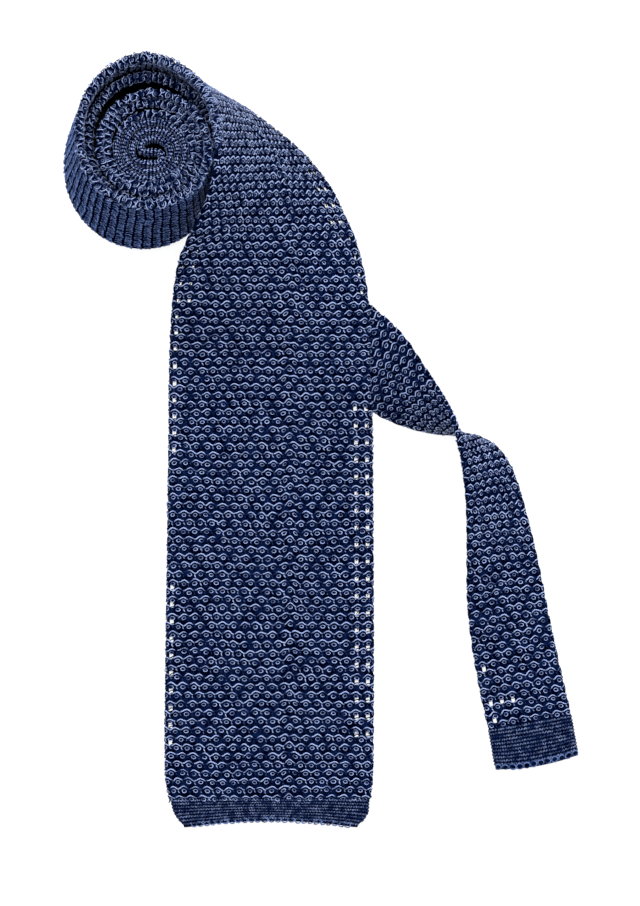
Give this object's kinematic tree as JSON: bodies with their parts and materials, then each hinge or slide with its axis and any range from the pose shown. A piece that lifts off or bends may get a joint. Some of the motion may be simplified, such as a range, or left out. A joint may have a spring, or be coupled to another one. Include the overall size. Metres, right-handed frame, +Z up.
{
  "type": "knit tie",
  "caption": "Square-ended knitted tie lying on a surface: its neck is wound into a coil on edge, the wide end lies flat and the narrow end turns over once beside it.",
  "frame": {"origin": "on the surface it lies on, under the middle of the tie's box", "axes": "+Y from the wide end's tip to the coil, +Z up, +X to the right as the tie is seen face up"},
  "size_m": [0.173, 0.2516, 0.0644],
  "materials": {
    "coarse_knit": "silky yarn in an open knit, navy blue",
    "fine_knit": "silky yarn in a fine knit, navy blue"
  },
  "bodies": {
    "root": {"blade_welt": "fine_knit", "blade": "coarse_knit", "blade_wrap": "coarse_knit", "neckband": "fine_knit", "tail_wrap": "coarse_knit", "tail": "coarse_knit", "tail_welt": "fine_knit"}
  },
  "joints": []
}
